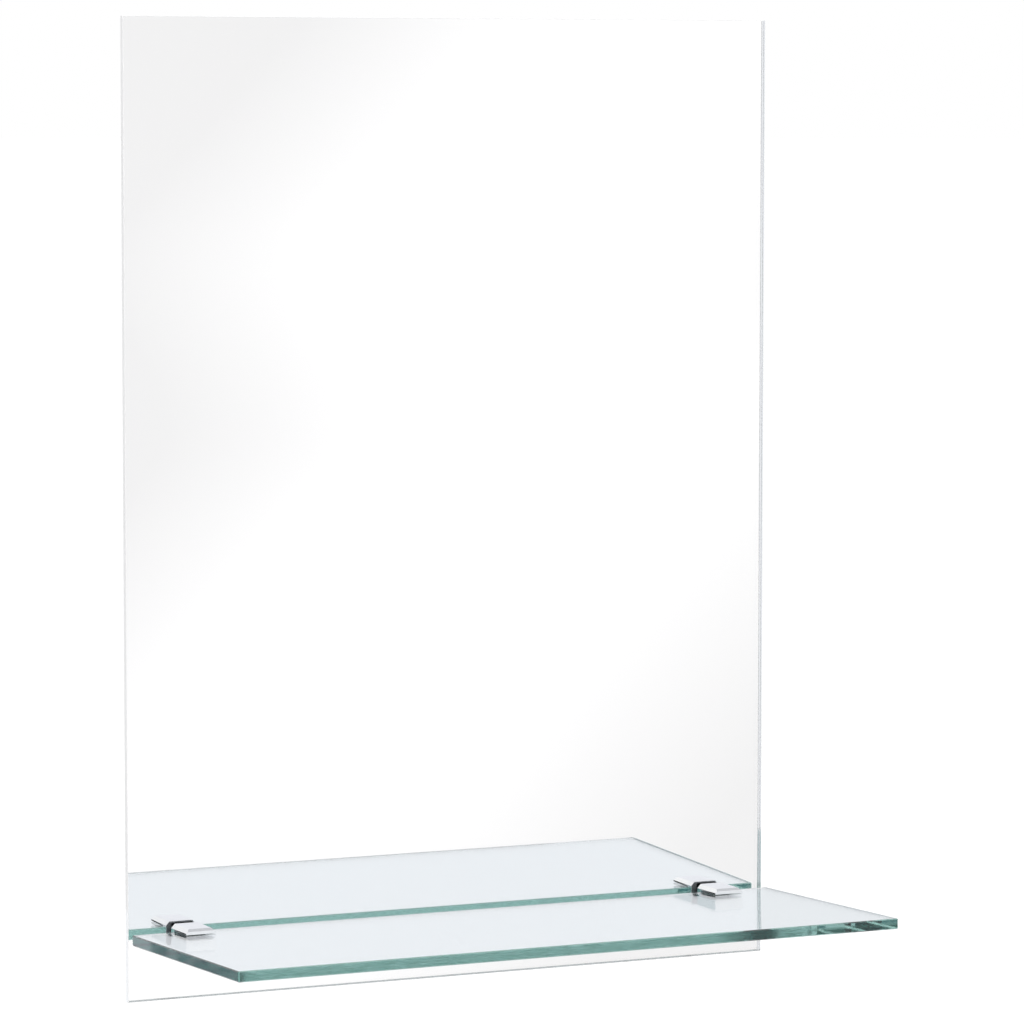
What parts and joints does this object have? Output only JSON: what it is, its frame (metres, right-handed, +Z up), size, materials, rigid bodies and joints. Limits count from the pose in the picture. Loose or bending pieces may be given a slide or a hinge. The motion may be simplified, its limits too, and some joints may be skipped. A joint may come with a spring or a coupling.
{
  "type": "wall mirror with shelf",
  "caption": "Frameless rectangular wall mirror with a glass shelf along its foot, held by screw clips; it hangs on keyhole hangers and its shelf slides out.",
  "frame": {"origin": "midpoint between the round entries of the two wall hangers' keyholes, on the wall plane", "axes": "+X to the right seen from the front, +Y into the wall, +Z up; the mirror faces -Y"},
  "size_m": [0.4, 0.1752, 0.55],
  "materials": {
    "clear_glass": "polished float glass",
    "silvering": "silvered, painted grey behind",
    "shelf_glass": "polished float glass with ground edges",
    "chrome": "bright chrome plating",
    "black_rubber": "matt",
    "bumper_rubber": "matt",
    "white_plastic": "moulded nylon",
    "zinc_steel": "zinc plated sheet",
    "screw_steel": "bright zinc plated",
    "foam_tape": "foam adhesive tape"
  },
  "bodies": {
    "mirror": {"mirror_glass": "clear_glass", "silver_backing": "silvering", "hanger_plate_left": "zinc_steel", "hanger_plate_right": "zinc_steel", "hanger_tape_left": "foam_tape", "hanger_tape_right": "foam_tape", "wall_bumper_left": "bumper_rubber", "wall_bumper_right": "bumper_rubber", "clip_body_left": "chrome", "clip_body_right": "chrome", "clip_gasket_left": "black_rubber", "clip_gasket_right": "black_rubber", "hole_sleeve_left": "white_plastic", "hole_sleeve_right": "white_plastic", "rubber_washer_left": "black_rubber", "rubber_washer_right": "black_rubber", "steel_washer_left": "zinc_steel", "steel_washer_right": "zinc_steel", "fixing_screw_left": "screw_steel", "fixing_screw_right": "screw_steel", "upper_jaw_pad_left": "black_rubber", "upper_jaw_pad_right": "black_rubber"},
    "shelf": {"glass_shelf": "shelf_glass"},
    "pad_left": {"pressure_pad_left": "white_plastic"},
    "pad_right": {"pressure_pad_right": "white_plastic"},
    "screw_left": {"clamp_screw_left": "screw_steel"},
    "screw_right": {"clamp_screw_right": "screw_steel"}
  },
  "joints": [
    {"name": "shelf_slide", "type": "slide", "parent": "mirror", "child": "shelf", "axis": [0, -0.9994, 0.0349], "range_m": [0, 0.03]},
    {"name": "pad_left_lift", "type": "slide", "parent": "mirror", "child": "pad_left", "axis": [0, -0.0349, -0.9994], "range_m": [0, 0.0016]},
    {"name": "screw_left_turn", "type": "hinge", "parent": "pad_left", "child": "screw_left", "pos_m": [-0.1658, -0.02501, -0.45241], "axis": [0, -0.0349, -0.9994], "range_deg": [0, 720]},
    {"name": "pad_right_lift", "type": "slide", "parent": "mirror", "child": "pad_right", "axis": [0, -0.0349, -0.9994], "range_m": [0, 0.0016]},
    {"name": "screw_right_turn", "type": "hinge", "parent": "pad_right", "child": "screw_right", "pos_m": [0.1658, -0.02501, -0.45241], "axis": [0, -0.0349, -0.9994], "range_deg": [0, 720]}
  ],
  "couplings": [
    {"joint": "screw_left_turn", "follows": "pad_left_lift", "rad_per_m": 7853.9},
    {"joint": "screw_right_turn", "follows": "pad_right_lift", "rad_per_m": 7853.9}
  ]
}
